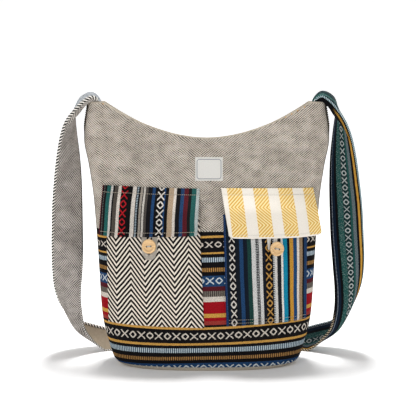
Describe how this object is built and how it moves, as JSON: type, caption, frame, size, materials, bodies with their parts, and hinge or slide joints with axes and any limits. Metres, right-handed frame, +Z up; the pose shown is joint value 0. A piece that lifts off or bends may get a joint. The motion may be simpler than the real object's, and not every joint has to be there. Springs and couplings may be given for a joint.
{
  "type": "jhola shoulder bag",
  "caption": "Cloth shoulder bag with a crescent mouth, hemp top, striped lower half, flapped patch pockets with wooden buttons and a broad two-cloth strap fallen behind it.",
  "frame": {"origin": "middle of the base's underside, on the surface that the bag stands on", "axes": "+X across the bag to the right seen from the front, +Y towards the back, +Z up; the pockets face -Y"},
  "size_m": [0.4801, 0.1786, 0.4104],
  "materials": {
    "hemp": "grey-beige hemp twill with dark flecks",
    "loom_stripes": "black hand-loom cotton with level coloured bands and woven cross and ring motifs",
    "herringbone": "cream and black herringbone hemp",
    "pocket_stripes": "hand-loom cotton in upright blue, black, green, gold and white stripes",
    "flap_stripes": "hand-loom cotton in upright black, blue, red, tan and white stripes",
    "yellow_stripes": "cream cotton with broad yellow herringbone stripes",
    "tape": "cream cotton tape",
    "wood": "pale turned wood, lightly waxed",
    "label_cloth": "white woven satin tape, bare inside a thin grey border",
    "hemp_strap": "grey hemp twill with whipped edges",
    "strap_stripes": "teal, black, blue and gold hand-loom stripes along the strap"
  },
  "bodies": {
    "root": {"upper_front": "hemp", "upper_back": "hemp", "lower_front": "loom_stripes", "lower_back": "loom_stripes", "base_panel": "hemp", "chevron_pocket": "herringbone", "striped_pocket": "pocket_stripes", "striped_flap": "flap_stripes", "yellow_flap": "yellow_stripes", "left_loop": "tape", "right_loop": "tape", "left_button": "wood", "right_button": "wood", "label": "label_cloth", "strap_left": "hemp_strap", "strap_right": "strap_stripes"}
  },
  "joints": []
}
